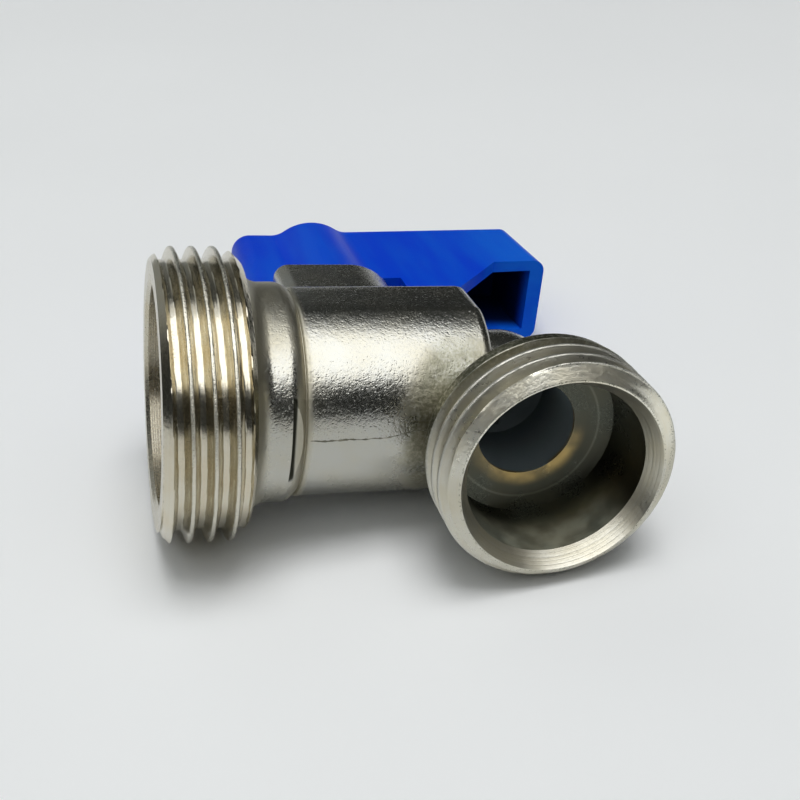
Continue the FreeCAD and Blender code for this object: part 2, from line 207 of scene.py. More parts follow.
class Wire:
    """A node socket that takes part in plain arithmetic, adding the nodes that the sum needs."""

    def __init__(self, tree, socket):
        self.tree = tree
        self.socket = socket

    def add(self, kind, settings=None, inputs=None, out=0):
        """A new node of that kind in the same tree: its settings first, then its inputs."""
        node = self.tree.nodes.new(kind)
        for key, value in (settings or {}).items():
            setattr(node, key, value)
        for key, value in (inputs or {}).items():
            socket = node.inputs[key]
            if isinstance(value, Wire):
                self.tree.links.new(value.socket, socket)
            else:
                socket.default_value = value
        return Wire(self.tree, node.outputs[out])

    def math(self, operation, *values):
        """A Math node of that operation on these values."""
        return self.add("ShaderNodeMath", {"operation": operation}, dict(enumerate(values)))

    def __add__(self, other):
        return self.math("ADD", self, other)

    def __radd__(self, other):
        return self.math("ADD", other, self)

    def __sub__(self, other):
        return self.math("SUBTRACT", self, other)

    def __rsub__(self, other):
        return self.math("SUBTRACT", other, self)

    def __mul__(self, other):
        return self.math("MULTIPLY", self, other)

    def __rmul__(self, other):
        return self.math("MULTIPLY", other, self)

    def __pow__(self, other):
        return self.math("POWER", self, other)

    def __rpow__(self, other):
        return self.math("POWER", other, self)

    def __neg__(self):
        return self.math("MULTIPLY", self, -1.0)

    def __abs__(self):
        return self.math("ABSOLUTE", self)

    def ramp(self, low, high, start=0.0, end=1.0):
        """A smooth step from start at low to end at high."""
        settings = {"interpolation_type": "SMOOTHSTEP"}
        inputs = {"Value": self, "From Min": low, "From Max": high, "To Min": start, "To Max": end}
        return self.add("ShaderNodeMapRange", settings, inputs)

    def mix(self, first, second):
        """The first colour where this is 0 and the second where it is 1."""
        settings = {"data_type": "RGBA", "clamp_factor": True}
        return self.add("ShaderNodeMix", settings, {0: self, 6: first, 7: second}, 2)

    def scaled(self, amount):
        """This vector times one number."""
        return self.add("ShaderNodeVectorMath", {"operation": "SCALE"}, {0: self, "Scale": amount})

    def times(self, vector):
        """This vector times another, one component at a time."""
        return self.add("ShaderNodeVectorMath", {"operation": "MULTIPLY"}, {0: self, 1: vector})

    def axes(self):
        """The three components of this vector."""
        first = self.add("ShaderNodeSeparateXYZ", None, {0: self})
        node = first.socket.node
        return [Wire(self.tree, socket) for socket in node.outputs]

    def joined(self, x, y, z):
        """A vector of three components."""
        return self.add("ShaderNodeCombineXYZ", None, {0: x, 1: y, 2: z})

    def noise(self, scale, detail=2.0, roughness=0.5):
        """Noise at this place, about 0 to 1."""
        inputs = {"Vector": self, "Scale": scale, "Detail": detail, "Roughness": roughness}
        return self.add("ShaderNodeTexNoise", None, inputs)

    def cells(self, scale):
        """Distance to the nearest scattered point, in cells."""
        return self.add("ShaderNodeTexVoronoi", {"feature": "F1"}, {"Vector": self, "Scale": scale})

    def bump(self, distance, strength):
        """A normal bent by this height, which counts in units of the distance."""
        inputs = {"Height": self, "Distance": distance, "Strength": strength}
        return self.add("ShaderNodeBump", None, inputs)


def rgba(colour):
    """A colour with full cover."""
    return (*colour, 1.0)


def new_material(name):
    """An empty material, its shader, and the place on the object in millimetres."""
    material = bpy.data.materials.new(name)
    material.use_nodes = True
    tree = material.node_tree
    shader = tree.nodes["Principled BSDF"]
    start = Wire(tree, shader.outputs[0])
    place = start.add("ShaderNodeTexCoord", out="Object").scaled(1.0 / MM)
    return material, shader, place


def feed(shader, **inputs):
    """Sets or links the shader's inputs: an underscore stands for a space in a name."""
    tree = shader.id_data
    for name, value in inputs.items():
        socket = shader.inputs[name.replace("_", " ")]
        if isinstance(value, Wire):
            tree.links.new(value.socket, socket)
        else:
            socket.default_value = value


def blasted_plate(name, colour, warm, grain):
    """Nickel over a blasted forging: fine pits that sparkle, duller and warmer in the creases."""
    material, shader, place = new_material(name)
    x, y, z = place.axes()
    pits = place.noise(3.4, 3.0, 0.6)
    lumps = place.noise(1.3, 2.0)
    patches = place.noise(0.22, 3.0)
    specks = place.cells(3.6).ramp(0.05, 0.42)
    neck = x.ramp(9.4, 7.9) + x.ramp(10.9, 11.7) * x.ramp(12.9, 12.2)
    top_of_neck = x.ramp(12.4, 11.6) * z.ramp(5.5, 8.5)
    from_inlet = ((x - INLET_X) ** 2.0 + z * z) ** 0.5
    barrel_side = x.ramp(INLET_X - 1.0, INLET_X - 6.0)
    towards_inlet = y.ramp(-4.0, -7.5)
    patchy = from_inlet.ramp(13.2, 10.8) * patches.ramp(0.3, 0.55)
    crease = patchy * towards_inlet * barrel_side
    worn = neck + top_of_neck * 0.8 + crease * 0.9
    dull = worn.math("MINIMUM", worn, 1.0)
    height = pits + lumps * 0.8 + specks * 0.35 + crease * lumps * 1.4
    # Painted shade, with dirty mottling, in the crease where the barrel meets the inlet.
    inlet_foot = from_inlet.ramp(12.3, 10.6) * towards_inlet * y.ramp(-11.2, -10.4)
    crease_shade_and_dirt = inlet_foot * pits.ramp(0.9, 0.3) * barrel_side
    # Painted shade: a dark line on the trimmed facet along the foot of the neck's step.
    facet_corner_shade = x.ramp(10.8, 10.9) * x.ramp(11.36, 11.16) * y.ramp(-9.05, -9.25)
    tint = patches.ramp(0.35, 0.7) * 0.45 + pits.ramp(0.62, 0.4) * 0.2 + dull * 0.75
    rough = 0.15 + pits.ramp(0.3, 0.75) * 0.10 + patches.ramp(0.3, 0.7) * 0.05 + dull * 0.24
    stained_and_shaded = (crease_shade_and_dirt * 0.8).mix(tint.mix(rgba(colour), rgba(warm)), rgba(CREASE_SHADE_AND_DIRT))
    feed(
        shader,
        Base_Color=facet_corner_shade.mix(stained_and_shaded, rgba(FACET_CORNER_SHADE)),
        Metallic=1.0,
        Roughness=rough + facet_corner_shade * 0.2,
        Normal=height.bump(grain, 0.6),
    )
    return material


def turned_plate(
    name, colour, warm, on_inlet, envelope, inside, rim_highlight_gain, roughness, grain, shade_and_grime_to
):
    """Nickel over turned brass: fine rings left by the tool round the outlet's or inlet's axis.

    Inside the mouth it has its own gain and dullness. The inlet's chamfer carries a painted
    highlight that grows towards the top by a given gain, and painted shade with grimy patches
    lies near the inlet's collar, ending at a given place along the axis.
    """
    material, shader, place = new_material(name)
    x, y, z = place.axes()
    crest_radius = envelope[1][1]
    if on_inlet:
        along = -y
        across = x - INLET_X
        chamfer_place = envelope[-2][0]
        mouth_radius = envelope[-1][1]
    else:
        along = x
        across = y
        chamfer_place = envelope[1][0]
        mouth_radius = envelope[0][1]
    radius = (across * across + z * z) ** 0.5
    rings = place.joined(along * 7.0, radius * 7.0, 0.0).noise(1.0, 3.0, 0.7)
    chatter = place.noise(3.2, 3.0, 0.65)
    patches = place.noise(0.35, 2.0)
    torn = place.noise(6.5, 3.0, 0.7)
    crest = radius.ramp(crest_radius - 0.2, crest_radius - 0.05)
    tint = 0.25 + patches.ramp(0.3, 0.7) * 0.6 + rings.ramp(0.35, 0.75) * 0.5
    tint = tint * (1.0 - crest * 0.8)
    rough = roughness + chatter.ramp(0.35, 0.8) * 0.10 + patches.ramp(0.4, 0.7) * 0.05
    rough = rough + crest * torn * 0.12
    gain, dullness = inside
    inner = radius.ramp(mouth_radius - 0.05, mouth_radius - 0.3)
    chamfer_edge = abs(along - chamfer_place).ramp(0.16, 0.03) * (1.0 - inner)
    rims = abs(radius - mouth_radius).ramp(0.14, 0.03) + chamfer_edge
    nicks = torn.ramp(0.54, 0.64) * rims * 0.8 + crest * torn.ramp(0.58, 0.68) * 0.4
    # Painted shade, grimy in patches, near the inlet's collar, and grimy nicks on the edges and
    # crests.
    shade_and_grime = along.ramp(shade_and_grime_to + 0.3, shade_and_grime_to - 0.7) * chatter.ramp(0.85, 0.4) + nicks
    # Painted highlight: the inlet's lead chamfer is made brighter towards its top.
    rim_highlight = along.ramp(chamfer_place - 0.15, chamfer_place + 0.1) * (1.0 - inner) * z.ramp(-1.0, 6.0)
    height = rings * (0.8 + inner * 3.2) + chatter * grain * (1.0 - inner * 0.7)
    height = height + crest * torn * 7.0
    plated = tint.mix(rgba(colour), rgba(warm)).scaled(1.0 + inner * (gain - 1.0) + rim_highlight * rim_highlight_gain)
    feed(
        shader,
        Base_Color=shade_and_grime.mix(plated, rgba(SHADE_AND_GRIME)),
        Metallic=1.0,
        Roughness=rough + shade_and_grime * 0.12 + inner * dullness,
        Normal=height.bump(0.012 * MM, 0.6),
    )
    return material


def socket_metal(name, colour, warm, gold):
    """Dull plating in the pipe socket, darkened as painted shade, worn to brass at the hole's lip.

    Low near the mouth it is worn pale by rubbing, with painted light where light comes in.
    """
    material, shader, place = new_material(name)
    x, y, z = place.axes()
    radius = ((x - INLET_X) ** 2.0 + z * z) ** 0.5
    rings = place.joined(y * 6.0, radius * 6.0, 0.0).noise(1.0, 3.0, 0.7)
    stains = place.noise(0.3, 2.0)
    grain = place.noise(4.0, 3.0, 0.6)
    tint = stains.ramp(0.3, 0.7) * 0.6 + rings.ramp(0.4, 0.8) * 0.25
    rubs = place.noise(0.5, 2.0).ramp(0.3, 0.7)
    right = (x - INLET_X).ramp(-4.5, 0.5)
    worn = (0.35 + rubs * 0.65) * (0.45 + right * 0.55)
    lip = radius.ramp(6.0, 4.9) * z.ramp(0.5, -2.5) * worn
    mark = abs(radius - 6.75).ramp(0.16, 0.02) * (-y).ramp(9.6, 9.2)
    # Paler, duller and less metallic low in the socket near the mouth: rubbing wear, and painted
    # light where light comes in through the mouth.
    low_wall = radius.ramp(7.6, 7.9) * (-y).ramp(10.6, 14.2) * z.ramp(-2.5, -6.5)
    rubbed_and_lit = low_wall * (0.6 + rubs * 0.4)
    rough = 0.26 + grain.ramp(0.35, 0.75) * 0.08 + stains.ramp(0.4, 0.7) * 0.05 + rubbed_and_lit * 0.15
    plated = tint.mix(rgba(colour), rgba(warm)).scaled(1.0 + rubbed_and_lit * 2.6 + mark * 0.6)
    feed(
        shader,
        Base_Color=lip.mix(plated, rgba(gold)),
        Metallic=1.0 - rubbed_and_lit * 0.7,
        Roughness=rough,
        Normal=(rings * 0.6 + grain * 0.25).bump(0.015 * MM, 0.5),
    )
    return material


def bored_metal(name, colour, tarnish_and_bore_shade):
    """Bare brass shining only at the supply bore's mouth; further in, tarnished with painted shade.
    """
    material, shader, place = new_material(name)
    y = place.axes()[1]
    mouth = (-y).ramp(8.3, 8.75)
    patches = place.noise(0.6, 3.0)
    shine = mouth * patches.ramp(0.25, 0.6)
    outward = (-y).ramp(1.0, 8.0)
    # Dark and lighter copies of one colour: painted shade that deepens further into the bore.
    deep = [value * 0.9 for value in tarnish_and_bore_shade]
    shallow = [value * 2.0 for value in tarnish_and_bore_shade]
    dark = outward.mix(rgba(deep), rgba(shallow))
    feed(
        shader,
        Base_Color=shine.mix(dark, rgba(colour)),
        Metallic=0.3 + shine * 0.7,
        Roughness=0.6 - shine * 0.36,
        Normal=patches.bump(0.01 * MM, 0.3),
    )
    return material


def moulded_plastic(name, colour, pale, deep):
    """Moulded plastic: fine grain, soft flow bands, pale scuffs and painted shade deep in the arm's
    cavity.
    """
    material, shader, place = new_material(name)
    x, y, z = place.axes()
    grain = place.noise(6.0, 2.0)
    flow = place.times((0.35, 0.05, 0.35)).noise(1.0, 2.0)
    scuffs = place.times((0.9, 3.5, 0.9)).noise(1.4, 4.0, 0.7).ramp(0.62, 0.8)
    start, end = HOLLOW_ENDS
    half = abs(z) - (x - STEM_X) * HOLLOW_SPLAY
    below_roof = y.ramp(HOLLOW_ROOF + 0.1, HOLLOW_ROOF - 0.1)
    inside = half.ramp(HOLLOW_HALF + 0.1, HOLLOW_HALF - 0.1) * below_roof
    between = x.ramp(start - 0.5, start) * x.ramp(end + 0.1, end - 0.1)
    depth = y - x.ramp(*HOLLOW_SLANT)
    # Painted shade, darker deeper in the arm's cavity.
    hollow_shade = inside * between * depth.ramp(0.15, 3.0)
    tint = flow.ramp(0.35, 0.7) * 0.45 + scuffs * 0.35 + x.ramp(36.0, 42.0) * 0.55
    rough = 0.3 + grain.ramp(0.3, 0.7) * 0.06 + scuffs * 0.12
    height = grain * 0.5 + flow * 1.6 + scuffs * 0.3
    feed(
        shader,
        Base_Color=(hollow_shade * 0.93).mix(tint.mix(rgba(colour), rgba(pale)), rgba(deep)),
        Roughness=rough,
        Specular_IOR_Level=0.045,
        Normal=height.bump(0.02 * MM, 0.4),
    )
    return material


def plain_metal(name, colour, worn, roughness, line):
    """Polished or turned metal: hair lines along one way, and duller patches."""
    material, shader, place = new_material(name)
    hairs = place.times(line).noise(2.0, 3.0, 0.7)
    patches = place.noise(0.5, 3.0)
    tint = patches.ramp(0.4, 0.75)
    rough = roughness + hairs.ramp(0.45, 0.8) * 0.10 + tint * 0.05
    feed(
        shader,
        Base_Color=tint.mix(rgba(colour), rgba(worn)),
        Metallic=1.0,
        Roughness=rough,
        Normal=hairs.bump(0.006 * MM, 0.5),
    )
    return material


def soft_solid(name, colour, other, roughness, grain):
    """Waxy plastic or rubber: cloudy colour and a soft grain."""
    material, shader, place = new_material(name)
    clouds = place.noise(0.8, 3.0)
    fine = place.noise(7.0, 2.0)
    feed(
        shader,
        Base_Color=clouds.ramp(0.35, 0.7).mix(rgba(colour), rgba(other)),
        Roughness=roughness + fine.ramp(0.3, 0.7) * 0.12,
        Normal=fine.bump(grain * MM, 0.5),
    )
    return material


def smooth_noise(random, rows, columns, coarse):
    """Noise from -1 to 1 that closes round the columns, with lumps of about coarse cells."""
    low_rows = max(rows // coarse, 2) + 1
    low_columns = max(columns // coarse, 4)
    field = random.uniform(-1.0, 1.0, (low_rows, low_columns))
    row = np.linspace(0.0, low_rows - 1.001, rows)[:, None]
    column = np.linspace(0.0, low_columns, columns, endpoint=False)[None, :]
    r0 = row.astype(int)
    c0 = column.astype(int)
    rf = row - r0
    cf = column - c0
    c1 = (c0 + 1) % low_columns
    near = field[r0, c0] * (1.0 - cf) + field[r0, c1] * cf
    far = field[r0 + 1, c0] * (1.0 - cf) + field[r0 + 1, c1] * cf
    return near * (1.0 - rf) + far * rf


def thread_radii(threads, envelope, cut_from, rows, columns, start, seed):
    """Stations along a threaded band and the radius at each station and angle, in millimetres."""
    random = np.random.default_rng(seed)
    pitch = threads.pitch / MM
    depth = threads.depth / MM
    half_crest = threads.crest / MM / 2.0
    half_root = pitch / 2.0 - threads.root / MM / 2.0
    places, radii = zip(*envelope)
    along = np.linspace(places[0] + BAND_MARGIN, places[-1] - BAND_MARGIN, rows)
    angle = np.linspace(0.0, 2.0 * math.pi, columns, endpoint=False)
    turn = (along[:, None] - start) / pitch - angle[None, :] / (2.0 * math.pi)
    off_crest = np.abs((turn + 0.5) % 1.0 - 0.5) * pitch
    flank = np.clip((off_crest - half_crest) / (half_root - half_crest), 0.0, 1.0)
    cut = flank * flank * (3.0 - 2.0 * flank)
    begun = np.clip((along - cut_from) / THREAD_RUN_IN, 0.0, 1.0)[:, None]
    outside = np.interp(along, places, radii)[:, None]
    near_crest = np.clip(1.0 - cut * TORN_FALL, 0.0, 1.0)
    torn = np.clip(smooth_noise(random, rows, columns, 2) - TORN_FROM, 0.0, 1.0) * near_crest
    burr = torn * threads.burr / MM
    threaded = np.minimum(outside + burr, max(radii) - depth * cut + burr)
    return along, angle, threaded * begun + outside * (1.0 - begun)


def boundary_loops(mesh):
    """The open edges of a mesh, one list for each loop."""
    left = {edge for edge in mesh.edges if edge.is_boundary}
    loops = []
    while left:
        loop = [left.pop()]
        todo = list(loop[0].verts)
        while todo:
            for edge in todo.pop().link_edges:
                if edge in left:
                    left.remove(edge)
                    loop.append(edge)
                    todo.extend(edge.verts)
        loops.append(loop)
    return loops


def cut_thread(mesh, frame_of, threads, envelope, cut_from, rows, columns, start, seed):
    """Swaps a plain band of the mesh round frame_of's axis for a cut thread with torn crests."""
    first = envelope[0][0]
    last = envelope[-1][0]
    smallest = min(radius for _, radius in envelope) - RADIUS_SLACK
    largest = max(radius for _, radius in envelope) + RADIUS_SLACK
    doomed = []
    for face in mesh.faces:
        spots = np.array([frame_of.measure(vertex.co) for vertex in face.verts])
        low = spots.min(axis=0)
        high = spots.max(axis=0)
        on_band = low[0] > first - END_SLACK and high[0] < last + END_SLACK
        on_end = high[0] < first + END_SLACK or low[0] > last - END_SLACK
        if on_band and not on_end and low[1] > smallest and high[1] < largest:
            doomed.append(face)
    if not doomed:
        raise RuntimeError("No threaded band was found to cut.")
    bmesh.ops.delete(mesh, geom=doomed, context="FACES_ONLY")
    bare = [edge for edge in mesh.edges if not edge.link_faces]
    bmesh.ops.delete(mesh, geom=bare, context="EDGES")
    loops = boundary_loops(mesh)
    if len(loops) != 2:
        raise RuntimeError(f"The threaded band left {len(loops)} open loops, not 2.")
    loops.sort(key=lambda loop: frame_of.measure(loop[0].verts[0].co)[0])
    along, angle, radius = thread_radii(threads, envelope, cut_from, rows, columns, start, seed)
    grid = []
    for i in range(rows):
        points = [frame_of.point(along[i], angle[j], radius[i, j]) for j in range(columns)]
        grid.append([mesh.verts.new(point) for point in points])
    for i in range(rows - 1):
        for j in range(columns):
            k = (j + 1) % columns
            mesh.faces.new((grid[i][j], grid[i + 1][j], grid[i + 1][k], grid[i][k]))
    for loop, ring in ((loops[0], grid[0]), (loops[1], grid[-1])):
        edges = [mesh.edges.get((ring[j], ring[(j + 1) % columns])) for j in range(columns)]
        bmesh.ops.bridge_loops(mesh, edges=loop + edges)


class Along:
    """Places measured along one of the valve's axes and away from it, in millimetres."""

    def __init__(self, way, first, second, centre):
        self.way = Vector(way)
        self.first = Vector(first)
        self.second = Vector(second)
        self.centre = Vector(centre)

    def measure(self, point):
        """Place along the axis and distance from it, in millimetres."""
        offset = point / MM - self.centre
        return offset.dot(self.way), math.hypot(offset.dot(self.first), offset.dot(self.second))

    def outward(self, point, normal):
        """How far a face there looks away from the axis: 1 straight out, -1 straight in."""
        offset = point / MM - self.centre
        out = self.first * offset.dot(self.first) + self.second * offset.dot(self.second)
        return out.normalized().dot(normal)

    def point(self, along, angle, radius):
        """The point at that place, angle and radius, in metres."""
        side = self.first * (math.cos(angle) * radius) + self.second * (math.sin(angle) * radius)
        return (self.centre + self.way * float(along) + side) * MM


OUTLET = Along((1, 0, 0), (0, 1, 0), (0, 0, 1), (0, 0, 0))
INLET = Along((0, -1, 0), (1, 0, 0), (0, 0, 1), (INLET_X, 0, 0))
BORE = Along((0, 1, 0), (1, 0, 0), (0, 0, 1), (STEM_X, 0, 0))


def finish_of(face):
    """Which finish a face has, by its place and, at the inlet, by the way it looks."""
    point = face.calc_center_median()
    inside = INLET.outward(point, face.normal) < INWARD_LOOK
    x, outlet_radius = OUTLET.measure(point)
    along_inlet, inlet_radius = INLET.measure(point)
    y, stem_radius = BORE.measure(point)
    socket_start, socket_end = SOCKET_SPAN
    if x < OUTLET_END:
        return TURNED
    if inside and socket_start < along_inlet < socket_end and inlet_radius < SOCKET_RADIUS:
        return SOCKET
    if along_inlet > INLET_COLLAR and inlet_radius < INLET_RADIUS:
        return SATIN
    in_supply = inside and SUPPLY_END < along_inlet < socket_start and inlet_radius < SUPPLY_RADIUS
    in_flow = outlet_radius < FLOW_RADIUS and x < FLOW_END
    in_cavity = outlet_radius < CAVITY_RADIUS and x < CAVITY_END
    in_stem_bore = stem_radius < STEM_BORE_RADIUS and y > STEM_BORE_FROM
    if in_supply or in_flow or in_cavity or in_stem_bore:
        return BORED
    return BLASTED


def add_parting_line(mesh, height, seed):
    """A thin uneven ridge along the barrel where the dies met, closed and sunk in the wall."""
    random = np.random.default_rng(seed)
    stations = np.arange(*PARTING_SPAN, PARTING_STEP)
    count = len(stations)

    def uneven(coarse, column):
        return smooth_noise(random, count, 8, coarse)[:, column]

    short_wave, long_wave = PARTING_WAVES
    mean_half, half_change = PARTING_HALF
    mean_share, share_change, least, most = PARTING_SHARE
    wander = uneven(7, 0) * short_wave + uneven(40, 1) * long_wave
    wander = wander + np.interp(stations, PARTING_PLACES, PARTING_RISES)
    tall = height / MM * np.clip(mean_share + share_change * uneven(3, 2), least, most)
    half = mean_half + half_change * uneven(5, 3)
    from_end = np.minimum(stations - stations[0], stations[-1] - stations)
    taper = np.clip(from_end / PARTING_TAPER, 0.0, 1.0)
    sections = []
    for x, z, up, side in zip(stations, wander, tall * taper, half):
        outer = -math.sqrt(BARREL_RADIUS ** 2 - z ** 2)
        root = outer + PARTING_SUNK
        top = outer - up
        brow = side * PARTING_TOP
        corners = ((root, z - side), (top, z - brow), (top, z + brow), (root, z + side))
        sections.append([mesh.verts.new(Vector((x, y, h)) * MM) for y, h in corners])
    faces = [mesh.faces.new(sections[0]), mesh.faces.new(list(reversed(sections[-1])))]
    for near, far in zip(sections, sections[1:]):
        for j in range(4):
            k = (j + 1) % 4
            faces.append(mesh.faces.new((near[j], far[j], far[k], near[k])))
    for face in faces:
        face.material_index = FLASH


def shade_by_angle(mesh, limit):
    """Smooth faces, with a hard edge where two faces meet beyond that angle or differ in finish."""
    for face in mesh.faces:
        face.smooth = True
    for edge in mesh.edges:
        finishes = {face.material_index for face in edge.link_faces}
        paired = len(edge.link_faces) == 2 and len(finishes) == 1
        edge.smooth = paired and edge.calc_face_angle(0.0) < limit


def link_mesh(name, mesh, materials):
    """A new object in the scene from a bmesh, with these materials."""
    data = bpy.data.meshes.new(name)
    mesh.to_mesh(data)
    mesh.free()
    for material in materials:
        data.materials.append(material)
    piece = bpy.data.objects.new(name, data)
    bpy.context.scene.collection.objects.link(piece)
    return piece


def paint_node(name, material):
    """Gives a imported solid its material."""
    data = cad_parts[name].data
    data.materials.clear()
    data.materials.append(material)


class ValveThreads(bpy.types.PropertyGroup):
    """Sizes of the two cut threads and of the forging's parting line."""

    pitch: bpy.props.FloatProperty(
        name="Pitch",
        description="From one thread crest to the next",
        default=1.814 * MM, min=0.2 * MM, precision=6, unit="LENGTH",
    )
    depth: bpy.props.FloatProperty(
        name="Depth",
        description="From crest to root",
        default=1.162 * MM, min=0.05 * MM, precision=6, unit="LENGTH",
    )
    crest: bpy.props.FloatProperty(
        name="Crest",
        description="Width of the flat crest",
        default=0.14 * MM, min=0.0, precision=6, unit="LENGTH",
    )
    root: bpy.props.FloatProperty(
        name="Root",
        description="Width of the flat root",
        default=0.42 * MM, min=0.0, precision=6, unit="LENGTH",
    )
    burr: bpy.props.FloatProperty(
        name="Burr",
        description="How far torn crests stand out",
        default=0.03 * MM, min=0.0, precision=6, unit="LENGTH",
    )
    outlet_start: bpy.props.FloatProperty(
        name="Outlet start",
        description="Place of the outlet's first crest along its axis",
        default=1.45 * MM, precision=6, unit="LENGTH",
    )
    inlet_start: bpy.props.FloatProperty(
        name="Inlet start",
        description="Place of the inlet's first crest along its axis",
        default=13.25 * MM, precision=6, unit="LENGTH",
    )
    parting: bpy.props.FloatProperty(
        name="Parting line",
        description="Height of the ridge where the dies met",
        default=0.11 * MM, min=0.0, precision=6, unit="LENGTH",
    )


class ValveColours(bpy.types.PropertyGroup):
    """Base colours of the finishes."""

    nickel: bpy.props.FloatVectorProperty(
        name="Nickel",
        description="Plating on the blasted forging",
        default=(0.45, 0.45, 0.42), size=3, subtype="COLOR", min=0.0, max=1.0,
    )
    warm_nickel: bpy.props.FloatVectorProperty(
        name="Warm nickel",
        description="Thin plating that lets the brass through",
        default=(0.445, 0.42, 0.335), size=3, subtype="COLOR", min=0.0, max=1.0,
    )
    turned: bpy.props.FloatVectorProperty(
        name="Turned nickel",
        description="Plating on the turned threads",
        default=(0.64, 0.62, 0.54), size=3, subtype="COLOR", min=0.0, max=1.0,
    )
    warm_turned: bpy.props.FloatVectorProperty(
        name="Warm turned nickel",
        description="Thin plating on the turned threads",
        default=(0.60, 0.545, 0.42), size=3, subtype="COLOR", min=0.0, max=1.0,
    )
    satin: bpy.props.FloatVectorProperty(
        name="Satin nickel",
        description="Plating on the pipe inlet",
        default=(0.56, 0.555, 0.505), size=3, subtype="COLOR", min=0.0, max=1.0,
    )
    warm_satin: bpy.props.FloatVectorProperty(
        name="Warm satin nickel",
        description="Thin plating on the pipe inlet",
        default=(0.54, 0.51, 0.41), size=3, subtype="COLOR", min=0.0, max=1.0,
    )
    bare_brass: bpy.props.FloatVectorProperty(
        name="Bare brass",
        description="Brass inside the bores and on the stem",
        default=(0.58, 0.42, 0.17), size=3, subtype="COLOR", min=0.0, max=1.0,
    )
    # Dull plating in the socket, darkened as painted shade.
    dull_nickel_and_socket_shade: bpy.props.FloatVectorProperty(
        name="Dull nickel and shade",
        description="Plating inside the pipe socket",
        default=(0.09, 0.095, 0.077), size=3, subtype="COLOR", min=0.0, max=1.0,
    )
    # Brass showing through in the socket, darkened as painted shade.
    dull_brass_and_socket_shade: bpy.props.FloatVectorProperty(
        name="Dull brass and shade",
        description="Brass that shows through inside the pipe socket",
        default=(0.115, 0.11, 0.08), size=3, subtype="COLOR", min=0.0, max=1.0,
    )
    # Tarnished brass, darkened as painted shade deep in the bores.
    tarnish_and_bore_shade: bpy.props.FloatVectorProperty(
        name="Tarnish and shade",
        description="Dark brass deep in the bores",
        default=(0.19, 0.222, 0.238), size=3, subtype="COLOR", min=0.0, max=1.0,
    )
    lever_blue: bpy.props.FloatVectorProperty(
        name="Lever blue",
        description="Colour of the moulded lever",
        default=(0.0002, 0.049, 0.64), size=3, subtype="COLOR", min=0.0, max=1.0,
    )
    scuffed_blue: bpy.props.FloatVectorProperty(
        name="Scuffed blue",
        description="Paler flow marks and scuffs on the lever",
        default=(0.004, 0.12, 0.69), size=3, subtype="COLOR", min=0.0, max=1.0,
    )


class ValveStudio(bpy.types.PropertyGroup):
    """Floor and light round the valve."""

    floor_colour: bpy.props.FloatVectorProperty(
        name="Floor",
        description="Colour of the floor",
        default=(0.965, 0.975, 0.98), size=3, subtype="COLOR", min=0.0, max=1.0,
    )
    sky: bpy.props.FloatProperty(
        name="Sky",
        description="Strength of the light from the pale surroundings",
        default=0.10, min=0.0,
    )
    softbox: bpy.props.FloatProperty(
        name="Softbox",
        description="Power of the soft lamp overhead",
        default=8.0, min=0.0, unit="POWER",
    )
    sheen: bpy.props.FloatProperty(
        name="Sheen",
        description="Power of a second lamp behind the softbox that only reflections show",
        default=8.2, min=0.0, unit="POWER",
    )
    key: bpy.props.FloatProperty(
        name="Key",
        description="Power of the smaller lamp overhead that gives the shadows their edge",
        default=7.1, min=0.0, unit="POWER",
    )
    wall_radius: bpy.props.FloatProperty(
        name="Card radius",
        description="Distance of the dark cards from the valve",
        default=0.55, min=0.2, unit="LENGTH",
    )
    near_angle: bpy.props.FloatProperty(
        name="Near card angle",
        description="Height of the dark cards on the camera's side, seen from the valve",
        default=math.radians(34.0), min=0.0, max=math.radians(80.0), unit="ROTATION",
    )
    far_angle: bpy.props.FloatProperty(
        name="Far card angle",
        description="Height of the dark cards on the far side, seen from the valve",
        default=math.radians(66.0), min=0.0, max=math.radians(80.0), unit="ROTATION",
    )


